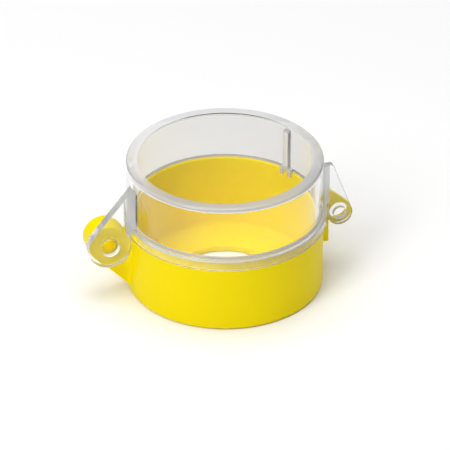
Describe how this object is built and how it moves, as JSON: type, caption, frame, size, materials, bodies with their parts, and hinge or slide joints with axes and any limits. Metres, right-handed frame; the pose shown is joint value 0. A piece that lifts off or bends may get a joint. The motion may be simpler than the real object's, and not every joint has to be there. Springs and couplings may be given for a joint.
{
  "type": "push button guard",
  "caption": "Round hinged guard for a panel push button: yellow cup with a button hole, clear swinging lid, and aligned ears that take a seal or thin shackle.",
  "frame": {"origin": "centre of the button hole on the cup's underside, the face that lies on the panel", "axes": "+Z out of the panel through the lid's top, -X towards the hinge, +X towards the locking ears, the hinge pin runs along Y"},
  "size_m": [0.0841, 0.0622, 0.0425],
  "materials": {
    "yellow_plastic": "smooth moulded, glossy",
    "clear_plastic": "clear moulded polycarbonate",
    "pin_plastic": "smooth moulded, glossy"
  },
  "bodies": {
    "cup": {"base_cup": "yellow_plastic", "hinge_pin": "pin_plastic"},
    "lid": {"clear_lid": "clear_plastic"}
  },
  "joints": [
    {"name": "lid_hinge", "type": "hinge", "parent": "cup", "child": "lid", "pos_m": [-0.0371, 0, 0.0186], "axis": [0, -1, 0], "range_deg": [0, 150]}
  ]
}
